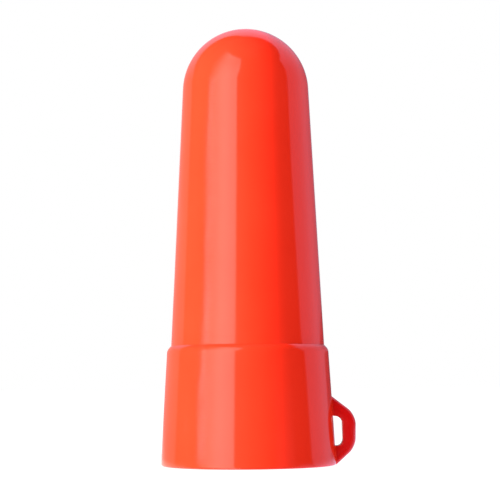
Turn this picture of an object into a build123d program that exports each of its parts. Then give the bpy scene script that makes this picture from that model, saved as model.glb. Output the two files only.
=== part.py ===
from build123d import *
import os
from math import acos, atan2, cos, hypot, radians, sin

# Push-on signal cone for a hand torch.
# A domed cone sits in a stepped collar, and a soft ring inside the collar grips the torch's head.
# Millimetres, +Z up. The origin is the centre of the collar's mouth, and +X points at the lanyard eye.

# Outside shape
height = 110.15
dome_radius = 15.95
cone_foot_radius = 19.15
shoulder_top = 29.8
shoulder_corner = 28.75
shoulder_round = 1.8
collar_top_radius = 20.17
collar_base_radius = 21.9
rim_round = 0.6
edge_round = 0.2

# Cone: its wall, and the flange at its foot that stops it in the collar
cone_wall = 1.8
flange_radius = 19.55
flange_bottom = 20.4
flange_top = 22.0
gate_dimple_radius = 1.3
gate_dimple_depth = 0.25

# Gap between pieces that sit in each other
seat_gap = 0.05

# Collar: the drafted pocket inside it, and the lip that keeps the ring in
pocket_base_radius = 20.3
lip_radius = 19.6
lip_height = 1.2
lip_lead_in = 0.35

# Grip ring: lands that touch the torch's head, with relief grooves between them
head_radius = 18.0
groove_count = 3
groove_width = 2.2
groove_depth = 0.6
groove_round = 0.25
ring_lead_in = 0.9

# Lanyard eye: corners of its outline and of its hole, as (X, Z)
eye_thickness = 4.0
eye_outline = [(18.5, 18.87), (26.85, 12.4), (26.72, 4.4), (21.9, 0.1), (18.5, 0.1)]
eye_outline_rounds = [0, 5.0, 5.0, 0, 0]
eye_outer_edge_round = 1.6
eye_hole = [(20.0, 12.3), (23.38, 11.65), (23.38, 4.8), (20.0, 4.75)]
eye_hole_rounds = [0, 1.3, 1.3, 0]
eye_hole_edge_round = 0.3

dome_centre = height - dome_radius
apex_angle = radians(90)


def draft_angle():
    """Half-angle of the cone that leaves its foot and runs tangent into the dome, in radians."""
    rise = dome_centre - shoulder_top
    return acos(dome_radius / hypot(cone_foot_radius, rise)) - atan2(rise, cone_foot_radius)


def dome_point(radius, angle):
    """Point on a circle about the dome's centre, at an angle above the horizontal."""
    return (radius * cos(angle), dome_centre + radius * sin(angle))


def dome_arc(radius, start_angle, end_angle):
    """Arc about the dome's centre, from one angle above the horizontal to another."""
    middle_angle = (start_angle + end_angle) / 2
    ThreePointArc(*[dome_point(radius, angle) for angle in (start_angle, middle_angle, end_angle)])


def pocket_radius(z):
    """Inner radius of the collar's drafted pocket at height z."""
    top_radius = flange_radius + seat_gap
    share = (flange_top - z) / (flange_top - lip_height)
    return top_radius + share * (pocket_base_radius - top_radius)


def turned(corners):
    """Solid turned about Z from a closed profile of (radius, z, rounding) corners."""
    points = [(radius, z) for radius, z, rounding in corners]
    roundings = [rounding for radius, z, rounding in corners]
    with BuildPart() as solid:
        with BuildSketch(Plane.XZ):
            with BuildLine():
                FilletPolyline(*points, radius=roundings, close=True)
            make_face()
        revolve(axis=Axis.Z)
    return solid.part


def signal_cone():
    """Thin-walled domed cone with a straight skirt, and a flange at its foot."""
    draft = draft_angle()
    inner_dome_radius = dome_radius - cone_wall
    inner_foot_radius = cone_foot_radius - cone_wall / cos(draft)
    skirt = [
        dome_point(inner_dome_radius, draft),
        (inner_foot_radius, shoulder_top),
        (inner_foot_radius, flange_bottom),
        (flange_radius, flange_bottom),
        (flange_radius, flange_top),
        (cone_foot_radius, flange_top),
        (cone_foot_radius, shoulder_top),
        dome_point(dome_radius, draft),
    ]
    skirt_rounds = [0, edge_round, edge_round, edge_round, 0, 0]
    with BuildPart() as cone:
        with BuildSketch(Plane.XZ):
            with BuildLine():
                FilletPolyline(*skirt, radius=skirt_rounds)
                dome_arc(dome_radius, draft, apex_angle)
                Line((0, height), (0, height - cone_wall))
                dome_arc(inner_dome_radius, apex_angle, draft)
            make_face()
        revolve(axis=Axis.Z)
        dimple_ball = (gate_dimple_radius ** 2 + gate_dimple_depth ** 2) / (2 * gate_dimple_depth)
        with Locations((0, 0, height - gate_dimple_depth + dimple_ball)):
            Sphere(dimple_ball, mode=Mode.SUBTRACT)
    return cone.part


def lanyard_eye():
    """D-shaped eye, well rounded outside, whose root lies inside the collar's wall."""
    with BuildPart() as eye:
        with BuildSketch(Plane.XZ):
            with BuildLine():
                FilletPolyline(*eye_outline, radius=eye_outline_rounds, close=True)
            make_face()
        extrude(amount=eye_thickness / 2, both=True)
        face_edges = eye.faces().filter_by(Axis.Y).edges()
        root_edges = face_edges.group_by(Axis.X)[0]
        fillet(face_edges - root_edges, eye_outer_edge_round)
        with BuildSketch(Plane.XZ):
            with BuildLine():
                FilletPolyline(*eye_hole, radius=eye_hole_rounds, close=True)
            make_face()
        extrude(amount=eye_thickness / 2, both=True, mode=Mode.SUBTRACT)
        for flat_side in eye.faces().filter_by(Axis.Y):
            fillet(flat_side.inner_wires().edges(), eye_hole_edge_round)
    return eye.part


def collar():
    """Drafted collar with a rounded shoulder, a lanyard eye, and a ledge and a lip inside it."""
    outside = turned([
        (0, 0, 0),
        (collar_base_radius, 0, rim_round),
        (collar_top_radius, shoulder_corner, shoulder_round),
        (cone_foot_radius + seat_gap, shoulder_top, 0),
        (0, shoulder_top, 0),
    ])
    inside = turned([
        (0, 0, 0),
        (lip_radius + lip_lead_in, 0, 0),
        (lip_radius, lip_lead_in, 0),
        (lip_radius, lip_height, edge_round),
        (pocket_base_radius, lip_height, 0),
        (pocket_radius(flange_top), flange_top + seat_gap, 0),
        (cone_foot_radius + seat_gap, flange_top + seat_gap, 0),
        (cone_foot_radius + seat_gap, shoulder_top, 0),
        (0, shoulder_top, 0),
    ])
    return outside + lanyard_eye() - inside


def grip_ring():
    """Soft ring with smooth lands for the torch's head, and relief grooves between them."""
    bottom = lip_height + seat_gap
    top = flange_bottom - seat_gap
    land_room = top - bottom - ring_lead_in - edge_round - groove_count * groove_width
    land_width = land_room / (groove_count + 1)
    corners = [
        (pocket_radius(top) - seat_gap, top, edge_round),
        (pocket_radius(bottom) - seat_gap, bottom, edge_round),
        (head_radius + ring_lead_in / 2, bottom, 0),
        (head_radius, bottom + ring_lead_in, 0),
    ]
    land_top = bottom + ring_lead_in
    for groove in range(groove_count):
        land_top += land_width
        corners.append((head_radius, land_top, 0))
        corners.append((head_radius + groove_depth, land_top, groove_round))
        land_top += groove_width
        corners.append((head_radius + groove_depth, land_top, groove_round))
        corners.append((head_radius, land_top, 0))
    corners.append((head_radius, top, edge_round))
    return turned(corners)


os.makedirs("parts", exist_ok=True)
export_step(signal_cone(), "parts/signal_cone.step")
export_step(collar(), "parts/collar.step")
export_step(grip_ring(), "parts/grip_ring.step")
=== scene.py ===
# %% [markdown]
# # A signal cone for a hand torch
# This lesson builds the looks of a small moulded object: a domed red cone that stands in a wider
# collar with a lanyard eye, and a soft ring inside that grips the head of a torch. The sizes and
# places come from a finished engineering model, the frame, and nothing here moves or resizes it.
# We could start from an empty scene and a list of sizes, but then the looks could drift away from
# the model. So we load the frame first and keep its box.

# %% Load the frame
import bpy
import bmesh
from math import acos, atan2, cos, degrees, hypot, pi, radians, sin, tan, tau
from mathutils import Matrix, Vector


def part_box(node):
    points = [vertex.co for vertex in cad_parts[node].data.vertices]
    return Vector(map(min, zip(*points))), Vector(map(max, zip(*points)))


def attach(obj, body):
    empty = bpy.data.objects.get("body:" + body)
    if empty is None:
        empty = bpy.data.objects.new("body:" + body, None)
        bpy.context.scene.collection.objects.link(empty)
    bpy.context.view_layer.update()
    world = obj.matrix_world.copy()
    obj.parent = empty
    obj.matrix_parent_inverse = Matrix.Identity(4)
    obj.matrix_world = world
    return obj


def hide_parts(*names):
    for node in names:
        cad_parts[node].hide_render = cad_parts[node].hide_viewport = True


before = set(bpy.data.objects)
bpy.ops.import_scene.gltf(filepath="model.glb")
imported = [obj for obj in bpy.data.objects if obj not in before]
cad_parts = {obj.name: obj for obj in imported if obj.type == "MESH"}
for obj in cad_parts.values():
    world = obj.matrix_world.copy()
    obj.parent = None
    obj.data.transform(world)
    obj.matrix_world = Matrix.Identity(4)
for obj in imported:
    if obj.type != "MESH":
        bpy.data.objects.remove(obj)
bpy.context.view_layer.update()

MM = 0.001
print("nodes:", sorted(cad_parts))

# %% [markdown]
# ## Sizes from the frame
# Every node of the frame has a box, and most heights and the flange's radius are read from those
# boxes. What a box cannot say, such as the radius of the dome, the height of its top before the
# dimple was cut, or a rounding, is written down once, in millimetres, with a plain name. The
# collar's base is drawn 0.02 mm under its full radius, so that no point of the looks can stand
# outside the frame's box.

# %% Read the sizes
cone_low, cone_high = [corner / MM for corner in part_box("signal_cone")]
collar_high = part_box("collar")[1] / MM
ring_low, ring_high = [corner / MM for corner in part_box("grip_ring")]

dome_radius = 15.95
dome_top = 110.15
cone_foot_radius = 19.15
cone_wall = 1.8
flange_radius = cone_high.x
flange_bottom = cone_low.z
flange_thickness = 1.6
flange_top = flange_bottom + flange_thickness
seat_gap = 0.05
edge_round = 0.2

collar_base_radius = 21.88
collar_top_radius = 20.17
shoulder_corner = 28.75
shoulder_top = collar_high.z
lip_radius = 19.6
lip_height = ring_low.z - seat_gap
pocket_base_radius = 20.3
pocket_top_radius = flange_radius + seat_gap

head_radius = 18.0
dome_centre = dome_top - dome_radius
print(f"cone {flange_bottom:.2f} to {dome_top:.2f} mm, collar 0 to {shoulder_top:.2f} mm")

# %% [markdown]
# ## Turned shapes
# Everything here except the lanyard eye was cut into its mould on a lathe. Such a shape could be
# stacked from cylinders, or pulled out of one cylinder ring by ring. Spinning one outline about
# the Z axis is closer to what the lathe does, and gives even, closed, truly round faces. The
# outline starts as a few corners. A vertex bevel rounds a corner the way a cutter with a nose
# radius would, and a subdivision puts rows on the long straight runs, so that smooth shading
# cannot smear the light of a small rounding over a whole wall.

# %% Outline and spin helpers
TURN_STEPS = 192
ROW_LENGTH = 1.5 * MM
MERGE_DISTANCE = 0.001 * MM


def outline(bm, corners, closed):
    """Lay a chain of vertices and edges through (radius, z) corners given in millimetres."""
    chain = [bm.verts.new((radius * MM, 0, z * MM)) for radius, z in corners]
    pairs = list(zip(chain, chain[1:]))
    if closed:
        pairs.append((chain[-1], chain[0]))
    for pair in pairs:
        bm.edges.new(pair)
    return chain


def round_corner(bm, corner, radius, steps=5):
    """Round the corner between two edges of a chain with an arc of a radius in millimetres."""
    arms = [(edge.other_vert(corner).co - corner.co).normalized() for edge in corner.link_edges]
    half_turn = (pi - arms[0].angle(arms[1])) / 2
    reach = radius * MM * tan(half_turn)
    bmesh.ops.bevel(bm, geom=[corner], offset=reach, affect="VERTICES", segments=steps, profile=0.5,
                    material=-1)


def add_rows(bm):
    """Cut each long edge into equal rows, none longer than ROW_LENGTH."""
    for edge in list(bm.edges):
        cuts = int(edge.calc_length() / ROW_LENGTH)
        if cuts:
            bmesh.ops.subdivide_edges(bm, edges=[edge], cuts=cuts)


def spin(bm):
    """Spin the chain once about Z, close the poles and the seam, and point the faces outwards."""
    bmesh.ops.spin(bm, geom=bm.verts[:] + bm.edges[:], cent=(0, 0, 0), axis=(0, 0, 1), angle=tau,
                   steps=TURN_STEPS, use_merge=True)
    bmesh.ops.remove_doubles(bm, verts=bm.verts, dist=MERGE_DISTANCE)
    bmesh.ops.recalc_face_normals(bm, faces=bm.faces)


def finished(bm, name, sharp_angle=40):
    """Turn a bmesh into an object with smooth shading that breaks only at sharp edges."""
    mesh = bpy.data.meshes.new(name)
    bm.to_mesh(mesh)
    bm.free()
    piece = bpy.data.objects.new(name, mesh)
    bpy.context.scene.collection.objects.link(piece)
    mesh.shade_smooth()
    mesh.set_sharp_from_angle(angle=radians(sharp_angle))
    return piece


def report(piece):
    """Print how many faces a piece has and how large it is."""
    size = [round(value / MM, 2) for value in piece.dimensions]
    print(f"{piece.name}: {len(piece.data.polygons)} faces, {size} mm")

# %% [markdown]
# ## The cone
# The cone is a thin shell with an even wall: outside and inside are the same shape, a wall apart.
# Its sides lean in by the draft that lets it leave the mould, and run tangent into the dome. Half
# a sphere joined onto a tube would leave a seam to hide, so the dome is part of the same outline:
# its arc is made by spinning one vertex about the dome's centre. At the very top the plastic
# entered the mould, and that leaves a shallow dimple with a small nub in it.

# %% Cone outline
DOME_STEPS = 44
dimple_radius = 1.3
dimple_depth = 0.2

rise = dome_centre - shoulder_top
draft = acos(dome_radius / hypot(cone_foot_radius, rise)) - atan2(rise, cone_foot_radius)
inner_dome_radius = dome_radius - cone_wall
inner_foot_radius = cone_foot_radius - cone_wall / cos(draft)
print(f"draft {degrees(draft):.2f} degrees")


def dome_arc(bm, radius, stop_radius):
    """Spin a vertex from the straight side up the dome, until it is stop_radius from the axis."""
    start = bm.verts.new((radius * MM * cos(draft), 0, (dome_centre + radius * sin(draft)) * MM))
    sweep = acos(stop_radius / radius) - draft
    made = bmesh.ops.spin(bm, geom=[start], cent=(0, 0, dome_centre * MM), axis=(0, -1, 0),
                          angle=sweep, steps=DOME_STEPS)
    last = [part for part in made["geom_last"] if isinstance(part, bmesh.types.BMVert)][0]
    return start, last


# %% Build the cone
bm = bmesh.new()
outer_start, outer_end = dome_arc(bm, dome_radius, dimple_radius)
inner_start = dome_arc(bm, inner_dome_radius, 0.0)[0]

skirt = outline(bm, [
    (inner_foot_radius, shoulder_top),
    (inner_foot_radius, flange_bottom),
    (flange_radius, flange_bottom),
    (flange_radius, flange_top),
    (cone_foot_radius, flange_top),
    (cone_foot_radius, shoulder_top),
], closed=False)
bm.edges.new((inner_start, skirt[0]))
bm.edges.new((skirt[-1], outer_start))

dimple_rim = outer_end.co.z / MM
slope_radius, floor_radius, nub_radius = 0.95, 0.5, 0.42
nub_round = 0.06
nub = outline(bm, [
    (slope_radius, dimple_rim - 0.8 * dimple_depth),
    (floor_radius, dimple_rim - dimple_depth),
    (nub_radius, dimple_rim - 0.3 * dimple_depth),
    (0.0, dimple_rim - 0.2 * dimple_depth),
], closed=False)
bm.edges.new((outer_end, nub[0]))

for corner in skirt[1:4]:
    round_corner(bm, corner, edge_round)
for corner in nub[:3]:
    round_corner(bm, corner, nub_round, steps=3)
add_rows(bm)
spin(bm)
cone_shell = finished(bm, "cone_shell")
report(cone_shell)

# %% [markdown]
# ## The collar
# The collar's outside flares towards the mouth, and its shoulder is one large rounding that meets
# the cone in a crisp inner corner, with a hair of a gap between the two mouldings. Inside it has a
# lip that keeps the soft ring in, a drafted pocket, and a ledge that the flange of the cone is
# pushed up against. It could be a tube with a bevel modifier, but each of its roundings has its
# own radius, so they are put into the outline corner by corner.

# %% Build the collar's ring
shoulder_round = 1.8
rim_round = 0.6
lip_lead_in = 0.35
lip_round = 0.15
seam_round = 0.04
bore_radius = cone_foot_radius + seat_gap

bm = bmesh.new()
wall = outline(bm, [
    (lip_radius + lip_lead_in, 0),
    (lip_radius, lip_lead_in),
    (lip_radius, lip_height),
    (pocket_base_radius, lip_height),
    (pocket_top_radius, flange_top + seat_gap),
    (bore_radius, flange_top + seat_gap),
    (bore_radius, shoulder_top),
    (collar_top_radius, shoulder_corner),
    (collar_base_radius, 0),
], closed=True)
round_corner(bm, wall[0], lip_round, steps=3)
round_corner(bm, wall[1], lip_round, steps=3)
round_corner(bm, wall[2], edge_round)
round_corner(bm, wall[6], seam_round, steps=3)
round_corner(bm, wall[7], shoulder_round, steps=12)
round_corner(bm, wall[8], rim_round, steps=8)
add_rows(bm)
spin(bm)
collar_shell = finished(bm, "collar_shell")
report(collar_shell)

# %% [markdown]
# ## The lanyard eye
# The eye is a flat hook of plastic whose two feet stand on the collar's wall, and the wall itself
# closes the hole. A bent tube would be round where the hook is flat, and a hole cut out of a plate
# leaves long, thin faces that shade badly. Here two chains of edges, the outer and the inner
# outline, have the same number of points, so bridging them gives clean four-sided faces. An
# extrusion gives the hook its thickness, and a bevel rounds its edges: a lot outside, where a
# wrist cord rubs, and a little in the hole.

# %% Build the eye
eye_thickness = 4.0
eye_outer_edge_round = 1.6
eye_hole_edge_round = 0.3
corner_steps = 12
foot_plane = 21.2
hole_middle = (22.0, 8.3)

outer_corners = [(20.4, 17.38), (26.85, 12.4), (26.72, 4.4), (21.9, 0.1), (21.0, 0.1)]
outer_rounds = (5.0, 5.0)
inner_corners = [(20.4, 12.25), (23.3, 11.85), (23.44, 4.8), (21.6, 4.77), (21.0, 4.76)]
inner_rounds = (1.7, 1.4)


def eye_chain(bm, corners, rounds):
    """One outline of the hook, from upper foot to lower foot, with its two far corners rounded."""
    chain = outline(bm, corners, closed=False)
    for corner, radius in zip(chain[1:3], rounds):
        round_corner(bm, corner, radius, steps=corner_steps)


bm = bmesh.new()
eye_chain(bm, outer_corners, outer_rounds)
eye_chain(bm, inner_corners, inner_rounds)
bmesh.ops.bridge_loops(bm, edges=bm.edges)
bmesh.ops.translate(bm, verts=bm.verts, vec=(0, -eye_thickness / 2 * MM, 0))
grown = bmesh.ops.extrude_face_region(bm, geom=bm.faces[:])
moved = [part for part in grown["geom"] if isinstance(part, bmesh.types.BMVert)]
bmesh.ops.translate(bm, verts=moved, vec=(0, eye_thickness * MM, 0))
bmesh.ops.recalc_face_normals(bm, faces=bm.faces)
print("eye:", len(bm.faces), "faces before rounding")


def on_outline(edge, outer):
    """True for an edge along the outer (or the inner) outline, on a flat side of the hook."""
    side_faces = [face for face in edge.link_faces if abs(face.normal.y) < 0.5]
    flat_faces = [face for face in edge.link_faces if abs(face.normal.y) > 0.5]
    if len(side_faces) != 1 or len(flat_faces) != 1:
        return False
    middle = (edge.verts[0].co + edge.verts[1].co) / 2
    hole_centre = Vector((hole_middle[0] * MM, middle.y, hole_middle[1] * MM))
    faces_out = side_faces[0].normal.dot(middle - hole_centre) > 0
    is_foot = side_faces[0].normal.x < -0.9 and middle.x < foot_plane * MM
    return faces_out == outer and not is_foot


outer_edges = [edge for edge in bm.edges if on_outline(edge, outer=True)]
inner_edges = [edge for edge in bm.edges if on_outline(edge, outer=False)]
bmesh.ops.bevel(bm, geom=outer_edges, offset=eye_outer_edge_round * MM, affect="EDGES", segments=6,
                profile=0.5, material=-1)
inner_edges = [edge for edge in inner_edges if edge.is_valid]
bmesh.ops.bevel(bm, geom=inner_edges, offset=eye_hole_edge_round * MM, affect="EDGES", segments=3,
                profile=0.5, material=-1)
lanyard_eye = finished(bm, "lanyard_eye")
report(lanyard_eye)

# %% [markdown]
# ## The soft ring
# The ring is the part that touches the torch. It has a lead-in that lets the torch's head start
# easily, and grooves that leave narrow lands, because a narrow land of soft rubber bends and grips
# where a full wall of it would have to be squeezed. The grooves could be cut out of a plain ring
# one by one. It is shorter and cleaner to let a loop write their corners into the outline, and to
# spin that once.

# %% Build the ring
ring_bottom = ring_low.z
ring_top = ring_high.z
ring_lead_in = 0.9
groove_count = 3
groove_width = 2.2
groove_depth = 0.6
groove_round = 0.25
land_round = 0.12


def pocket_radius(z):
    """Inside radius of the collar's drafted pocket at a height in millimetres."""
    share = (flange_top - z) / (flange_top - lip_height)
    return pocket_top_radius + share * (pocket_base_radius - pocket_top_radius)


land_room = ring_top - ring_bottom - ring_lead_in - edge_round - groove_count * groove_width
land_width = land_room / (groove_count + 1)
ring_corners = [
    (pocket_radius(ring_top) - seat_gap, ring_top, edge_round),
    (pocket_radius(ring_bottom) - seat_gap, ring_bottom, edge_round),
    (head_radius + ring_lead_in / 2, ring_bottom, edge_round),
    (head_radius, ring_bottom + ring_lead_in, edge_round),
]
land_top = ring_bottom + ring_lead_in
for groove in range(groove_count):
    land_top += land_width
    ring_corners.append((head_radius, land_top, land_round))
    ring_corners.append((head_radius + groove_depth, land_top, groove_round))
    land_top += groove_width
    ring_corners.append((head_radius + groove_depth, land_top, groove_round))
    ring_corners.append((head_radius, land_top, land_round))
ring_corners.append((head_radius, ring_top, edge_round))

bm = bmesh.new()
section = outline(bm, [(radius, z) for radius, z, rounding in ring_corners], closed=True)
for corner, (radius, z, rounding) in zip(section, ring_corners):
    round_corner(bm, corner, rounding, steps=3)
add_rows(bm)
spin(bm)
soft_ring = finished(bm, "soft_ring")
report(soft_ring)

# %% [markdown]
# ## Writing shader maths as Python
# A material is a small calculation done at each point of the surface. It could be clicked together
# in the node editor, but written out node by node it is long and hard to read. So one small class
# wraps a node's output. An expression such as 1 - mask * 0.3 then adds the Math nodes by itself,
# and one method makes any other kind of node.

# %% Wire: a node output in Python expressions
class Wire:
    """The output of a shader node. Expressions on wires add the Math nodes that work them out."""

    def __init__(self, tree, socket=None):
        self.tree = tree
        self.socket = socket

    def node(self, kind, settings=None, sockets=None, output=0):
        """Add a node, set it up, feed its sockets with values or wires, and wrap one output."""
        made = self.tree.nodes.new(kind)
        for name, value in (settings or {}).items():
            if name == "stops":
                for place, tone in value[len(made.color_ramp.elements):]:
                    made.color_ramp.elements.new(place)
                for stop, (place, tone) in zip(made.color_ramp.elements, value):
                    stop.position, stop.color = place, tone
            else:
                setattr(made, name, value)
        for name, value in (sockets or {}).items():
            if isinstance(value, Wire):
                self.tree.links.new(value.socket, made.inputs[name])
            else:
                made.inputs[name].default_value = value
        return Wire(self.tree, made.outputs[output])

    def math(self, operation, *values):
        """Add a Math node that works on the given values or wires, or on this wire alone."""
        sockets = dict(enumerate(values or [self]))
        return self.node("ShaderNodeMath", {"operation": operation}, sockets)

    def __add__(self, other):
        return self.math("ADD", self, other)

    def __radd__(self, other):
        return self.math("ADD", other, self)

    def __sub__(self, other):
        return self.math("SUBTRACT", self, other)

    def __rsub__(self, other):
        return self.math("SUBTRACT", other, self)

    def __mul__(self, other):
        return self.math("MULTIPLY", self, other)

    def __rmul__(self, other):
        return self.math("MULTIPLY", other, self)

    def __neg__(self):
        return self.math("MULTIPLY", self, -1.0)

    def ramp(self, start, end, low=0.0, high=1.0):
        """Ease from low to high while this value goes from start to end."""
        return self.node("ShaderNodeMapRange", {"interpolation_type": "SMOOTHSTEP"}, {
            "Value": self, "From Min": start, "From Max": end, "To Min": low, "To Max": high})

    def mix(self, start, end):
        """Blend two colours by this value."""
        sockets = {0: self, 6: start, 7: end}
        return self.node("ShaderNodeMix", {"data_type": "RGBA"}, sockets, output=2)

    def axes(self):
        """Split a vector into its three numbers."""
        split = self.node("ShaderNodeSeparateXYZ", {}, {0: self})
        outputs = split.socket.node.outputs
        return [Wire(self.tree, output) for output in outputs]


def new_material(name):
    """An empty material with a Principled shader, and a wire to build its nodes from."""
    material = bpy.data.materials.new(name)
    material.use_nodes = True
    shader = material.node_tree.nodes["Principled BSDF"]
    return material, shader, Wire(material.node_tree)


def feed(shader, **sockets):
    """Link wires to a shader's sockets, or set values that are the same all over."""
    for name, value in sockets.items():
        socket = shader.inputs[name.replace("_", " ")]
        if isinstance(value, Wire):
            value.tree.links.new(value.socket, socket)
        else:
            socket.default_value = value


print("wire ready")

# %% [markdown]
# ## Signal plastic
# The cone and collar are moulded in one glossy signal red. Up close, such plastic is never one
# flat tone: the pigment swirls a little, the polished mould leaves a very shallow waviness,
# handling leaves hair-thin scratches, and a fine line runs where the halves of the mould met. A
# painted picture of all that would blur up close, so it is worked out from Object coordinates
# instead, and crosses from piece to piece without a step. The lanyard eye is painted a deeper,
# darker red: partly because it is solid, so light has further to go in the plastic, and partly as
# painted shade, the darker and redder look of the eye where it stands in the collar's shadow. The
# wall flares towards the mouth, so the eye is told from it by how far a point stands out from the
# flared wall.

# %% Signal plastic
SIGNAL_RED = (0.89, 0.0258, 0.0085, 1)
SIGNAL_RED_PALE = (0.91, 0.0285, 0.0097, 1)
# Deeper, darker red of the lanyard eye: partly its thick plastic, partly painted shade.
EYE_RED_WITH_SHADE = (0.73, 0.0052, 0.0054, 1)


def signal_plastic(name, shaded_deep_eye):
    """Glossy red plastic. With the eye switch on, it is a deeper, darker red outside the collar's
    wall, partly for the thick plastic and partly as painted shade.
    """
    material, shader, wire = new_material(name)
    place = wire.node("ShaderNodeTexCoord", output=3)
    x, y, z = place.axes()

    swirl = wire.node("ShaderNodeTexNoise", {}, {"Vector": place, "Scale": 55.0, "Detail": 3.0})
    stops = [(0.35, SIGNAL_RED), (0.65, SIGNAL_RED_PALE)]
    tone = wire.node("ShaderNodeValToRGB", {"stops": stops}, {"Fac": swirl})
    if shaded_deep_eye:
        radius = (x * x + y * y).math("SQRT")
        flare = (collar_base_radius - collar_top_radius) / shoulder_corner
        beyond_wall = radius + z * flare - collar_base_radius * MM
        # Painted shade in part: on the eye, outside the collar's wall, the red turns deeper and
        # darker.
        tone = beyond_wall.ramp(0.05 * MM, 0.25 * MM).mix(tone, EYE_RED_WITH_SHADE)

    speckle = wire.node("ShaderNodeTexNoise", {}, {"Vector": place, "Scale": 2600.0, "Detail": 2.0})
    patches = wire.node("ShaderNodeTexNoise", {}, {"Vector": place, "Scale": 130.0, "Detail": 4.0})
    handled = patches.ramp(0.5, 0.75)

    turned_place = wire.node("ShaderNodeMapping", {}, {
        "Vector": place, "Rotation": (0.3, 0.5, 0.4), "Scale": (900.0, 900.0, 16.0)})
    grain = wire.node("ShaderNodeTexNoise", {}, {
        "Vector": turned_place, "Scale": 1.0, "Detail": 1.0})
    scratch = grain.ramp(0.70, 0.735) * patches.ramp(0.5, 0.62)

    waviness = wire.node("ShaderNodeTexNoise", {}, {"Vector": place, "Scale": 95.0, "Detail": 1.0})
    from_plane = y.math("ABSOLUTE")
    parting_line = from_plane.ramp(0.02 * MM, 0.11 * MM, 1.0, 0.0)
    height = waviness * 0.035 + speckle * 0.002 - scratch * 0.008 + parting_line * 0.05
    bump = wire.node("ShaderNodeBump", {}, {
        "Height": height, "Strength": 0.35, "Distance": 1.0 * MM})

    roughness = 0.085 + handled * 0.03 + scratch * 0.12 + speckle * 0.01
    feed(shader, Base_Color=tone, Roughness=roughness, Normal=bump, IOR=1.47)
    return material


cone_plastic = signal_plastic("cone_plastic", shaded_deep_eye=False)
collar_plastic = signal_plastic("collar_plastic", shaded_deep_eye=True)
print("plastics:", cone_plastic.name, collar_plastic.name)

# %% [markdown]
# ## Ring rubber
# The ring is a soft, nearly black rubber. It is satin where the mould was left matt, smoother on
# the lands that rub on the torch, and it holds a little pale dust in its grooves. The grooves
# could be given a material of their own, but one mask made from the distance to the axis finds
# them, and fades softly at their edges.

# %% Ring rubber
RUBBER = (0.030, 0.030, 0.032, 1)
RUBBER_DUSTY = (0.075, 0.073, 0.070, 1)


def ring_rubber():
    """Satin black rubber, duller and a little dusty in the grooves."""
    material, shader, wire = new_material("ring_rubber")
    place = wire.node("ShaderNodeTexCoord", output=3)
    x, y, z = place.axes()
    radius = (x * x + y * y).math("SQRT")
    in_groove = radius.ramp((head_radius + 0.15) * MM, (head_radius + 0.5) * MM)
    cloud = wire.node("ShaderNodeTexNoise", {}, {"Vector": place, "Scale": 420.0, "Detail": 4.0})
    grit = wire.node("ShaderNodeTexNoise", {}, {"Vector": place, "Scale": 5200.0, "Detail": 2.0})
    dust = in_groove * cloud.ramp(0.42, 0.62)
    bump = wire.node("ShaderNodeBump", {}, {
        "Height": grit * 0.03 + cloud * 0.04, "Strength": 0.5, "Distance": 1.0 * MM})
    feed(shader, Base_Color=(dust * 0.6).mix(RUBBER, RUBBER_DUSTY),
         Roughness=0.42 + in_groove * 0.2 + cloud * 0.08, Normal=bump, IOR=1.5)
    return material


rubber = ring_rubber()
print("rubber:", rubber.name)

# %% [markdown]
# ## Fasten the pieces to the frame
# Every piece gets its material and is fastened to the body it rides on, and the engineering solid
# it stands for is hidden. The table also names a finish slot for each piece, which the loop does
# not use. This could be typed once for each piece, but a table and a loop show at a glance that
# none was left out. There are no joints, so there is one body.

# %% Dress and fasten
dressing = [
    (cone_shell, cone_plastic, "signal_cone", "cone_plastic"),
    (collar_shell, collar_plastic, "collar", "collar_plastic"),
    (lanyard_eye, collar_plastic, "collar", "collar_plastic"),
    (soft_ring, rubber, "grip_ring", "ring_rubber"),
]
for piece, material, node, slot in dressing:
    piece.data.materials.append(material)
    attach(piece, "root")
    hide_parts(node)
print("pieces:", [piece.name for piece, material, node, slot in dressing])

# %% [markdown]
# ## The studio
# Gloss is only as good as what it mirrors. A tall softbox stands at the front left, pale walls run
# round the back, and the front right is dark. Bright panels could be set up round the object as
# meshes. Painting them into the world by direction, with soft edges, costs no geometry and almost
# no noise. A direction is given as degrees round from the front, degrees round from straight
# behind, and degrees of climb. To the right is positive in both turns.

# %% Directions
scene = bpy.context.scene
scene.view_settings.view_transform = "Standard"
world = bpy.data.worlds.new("studio")
scene.world = world
world.use_nodes = True
wire = Wire(world.node_tree)
background = world.node_tree.nodes["Background"]
TO_DEGREES = 180 / pi

towards = wire.node("ShaderNodeTexCoord", output=0)
dx, dy, dz = towards.axes()
front = dx.math("ARCTAN2", dx, -dy) * TO_DEGREES
back = dx.math("ARCTAN2", dx, dy) * TO_DEGREES
climb = dz.math("ARCSINE") * TO_DEGREES


def window(value, left, right, left_soft, right_soft):
    """1 between left and right, easing to 0 over the soft widths outside them."""
    return value.ramp(left - left_soft, left) * value.ramp(right, right + right_soft, 1.0, 0.0)


print("one degree is", round(1 / TO_DEGREES, 4), "radians")

# %% [markdown]
# The softbox stands a little askew: its right edge leans to the right as it climbs, its left edge
# spreads to the left, and its top slopes. One even rectangle would be simpler, but a real softbox
# is brighter near its lamp. So this one is brightest a little right of its middle, and fades
# upwards and to the left. To its right, a weak spill of its light fades over the dark front.

# %% The softbox
right_lean = climb.ramp(0, 40, 0.0, 9.0)
left_spread = climb.ramp(22, 60, 0.0, 30.0)
softbox_right = (front - right_lean).ramp(-20.0, -18.5, 1.0, 0.0)
softbox_left = (front + left_spread).ramp(-74, -64)
softbox_top = (climb + front * 0.22).ramp(48, 52, 1.0, 0.0)
glow_across = front.ramp(-76, -38, 0.1, 3.3) * front.ramp(-36, -18, 1.0, 0.80)
glow_upwards = climb.ramp(20, 50, 1.0, 0.72)
softbox = softbox_right * softbox_left * softbox_top * glow_across * glow_upwards
spill = window(front, -22, -12, 4, 20) * climb.ramp(40, 60, 1.0, 0.0) * 0.10
print("softbox and spill painted")

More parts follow.
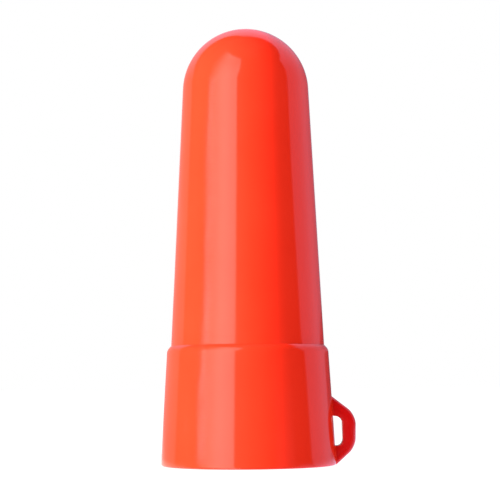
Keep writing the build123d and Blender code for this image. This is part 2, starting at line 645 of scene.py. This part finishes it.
# %% [markdown]
# Low down there are two walls behind, with a darker strip just above the table where they meet.
# The right one reaches round to the object's side and is brighter there. Higher up they run
# together into one pale wall whose top slopes down to both sides. One wall all round would be
# simpler, but then both edges of the cone would shine alike. A white table lies below, behind the
# object, and a small card stands low at the right front.

# %% The walls and the table
right_edge = back - climb.math("MINIMUM", climb, 12) * 0.75
wall_right = window(right_edge, 0, 85.5, 20, 4) * back.ramp(26, 60, 0.27, 0.76)
wall_left = window(back - climb * 0.3, -66, -10, 4, 20) * 0.40
low_gap = window(back, -10, 38, 10, 4) * climb.ramp(3.2, 4.2, 1.0, 0.0) * climb.ramp(-1.5, -0.3)
low_walls = (wall_right + wall_left) * (1 - low_gap * 0.7)

top_right = (climb + back * 0.33).ramp(72, 76, 1.0, 0.0)
top_left = (climb - back * 0.85).ramp(72, 76, 1.0, 0.0)
top_middle = climb.ramp(64, 72, 1.0, 0.0)
right_end = back.ramp(92, 96, 1.0, 0.0)
high_wall = top_right * top_left * top_middle * right_end * climb.ramp(24, 56, 0.72, 1.2)

high = climb.ramp(16, 30)
walls = low_walls * (1 - high) + high_wall * high
table = climb.ramp(-3.0, 0.0, 1.0, 0.0) * window(back, -80, 100, 20, 20) * 0.9
side_card = window(front, 40, 60, 6, 4) * climb.ramp(4, 7, 1.0, 0.0) * 0.12
ROOM_GLOW = 0.03
glow = softbox + spill + walls + table + side_card + ROOM_GLOW
print("walls, table and card painted")

# %% [markdown]
# The walls at the right and high up behind are cooler and faintly violet, and the rest is a nearly
# neutral white. Only reflections and bounced light see all of this: for the camera, a mask turns
# the whole world plain white.

# %% Tint and strength of the world
WHITE = (1, 1, 1, 1)
NEUTRAL_WALL = (0.98, 1.0, 0.98, 1)
COOL_WALL = (0.87, 0.70, 1.0, 1)
cool_right = window(back, 14, 104, 14, 6)
cool_high = window(back, -100, 20, 10, 10) * climb.ramp(10, 30)
cool = cool_right + (1 - cool_right) * cool_high
seen_by_camera = wire.node("ShaderNodeLightPath", output=0)
tint = seen_by_camera.mix(cool.mix(NEUTRAL_WALL, COOL_WALL), WHITE)
strength = glow * (1 - seen_by_camera) + seen_by_camera
world.node_tree.links.new(tint.socket, background.inputs["Color"])
world.node_tree.links.new(strength.socket, background.inputs["Strength"])
print("world painted with", len(world.node_tree.nodes), "nodes")

# %% [markdown]
# The painted surroundings are dim on purpose: they could light the object too, but then every
# change to a highlight would change the shading. The light that models the form comes from three
# area lights that gloss does not see: a strong, narrow one from the left, a weak, wide one from
# the right, and one from above.

# %% The lights
LIGHT_DISTANCE = 1.5
LIT_POINT = Vector((0, 0, 0.055))


def diffuse_light(name, azimuth, elevation, width, height, power):
    """An area light that faces the object, hidden from gloss. Azimuth 0 is the camera's side."""
    data = bpy.data.lights.new(name, "AREA")
    data.shape = "RECTANGLE"
    data.size = width
    data.size_y = height
    data.energy = power
    light = bpy.data.objects.new(name, data)
    scene.collection.objects.link(light)
    turn = radians(azimuth)
    lift = radians(elevation)
    way = Vector((sin(turn) * cos(lift), -cos(turn) * cos(lift), sin(lift)))
    light.location = LIT_POINT + way * LIGHT_DISTANCE
    light.rotation_euler = (-way).to_track_quat("-Z", "Y").to_euler()
    light.visible_camera = False
    light.visible_glossy = False


diffuse_light("wash_left", azimuth=-64.5, elevation=4, width=0.35, height=0.9, power=132)
diffuse_light("fill_right", azimuth=55, elevation=20, width=1.2, height=1.2, power=2.0)
diffuse_light("fill_above", azimuth=0, elevation=80, width=1.2, height=1.2, power=8)

# %% [markdown]
# ## The floor
# The floor is a plain pale sheet that fades into the white behind. It could be lit from all round
# until it is white, but that much light would also flatten the object. So it glows by itself,
# which also lifts the object's underside the way a real white table does. Gloss does not see it,
# because the table painted into the world already gives the low reflections.

# %% The floor
FLOOR_REACH = 20.0
bm = bmesh.new()
bmesh.ops.create_grid(bm, x_segments=1, y_segments=1, size=FLOOR_REACH)
bmesh.ops.recalc_face_normals(bm, faces=bm.faces)
floor = finished(bm, "floor")
paper, shader, wire = new_material("white_paper")
fibre = wire.node("ShaderNodeTexNoise", {}, {
    "Vector": wire.node("ShaderNodeTexCoord", output=3), "Scale": 900.0, "Detail": 3.0})
shade = fibre.ramp(0.3, 0.7).mix((0.10, 0.10, 0.10, 1), (0.11, 0.11, 0.11, 1))
feed(shader, Base_Color=shade, Roughness=0.9, Emission_Color=WHITE, Emission_Strength=0.97)
floor.data.materials.append(paper)
floor.visible_glossy = False
print("floor reaches", FLOOR_REACH, "m each way")

# %% [markdown]
# ## The camera
# The camera stands low and looks slightly up, with a long lens, so the cone's sides stay nearly
# straight and the mouth of the collar shows as a very flat curve. It is held a hair off level. An
# empty to track would aim it too, but three plain turns say exactly how it is held.

# %% The camera
EYE_POINT = (0, -0.39396, 0.0191)
PAN = radians(-0.1136)
TILT_UP = radians(5.045)
ROLL = radians(-0.487)
LEVEL = radians(90)

lens_data = bpy.data.cameras.new("camera")
lens_data.sensor_width = 36
lens_data.lens = 112.9
lens_data.clip_start = 0.01
camera = bpy.data.objects.new("camera", lens_data)
scene.collection.objects.link(camera)
aim = Matrix.Rotation(PAN, 4, "Z") @ Matrix.Rotation(LEVEL + TILT_UP, 4, "X")
aim = aim @ Matrix.Rotation(ROLL, 4, "Z")
camera.matrix_world = Matrix.Translation(EYE_POINT) @ aim
scene.camera = camera
print("camera at", [round(value, 4) for value in camera.location])
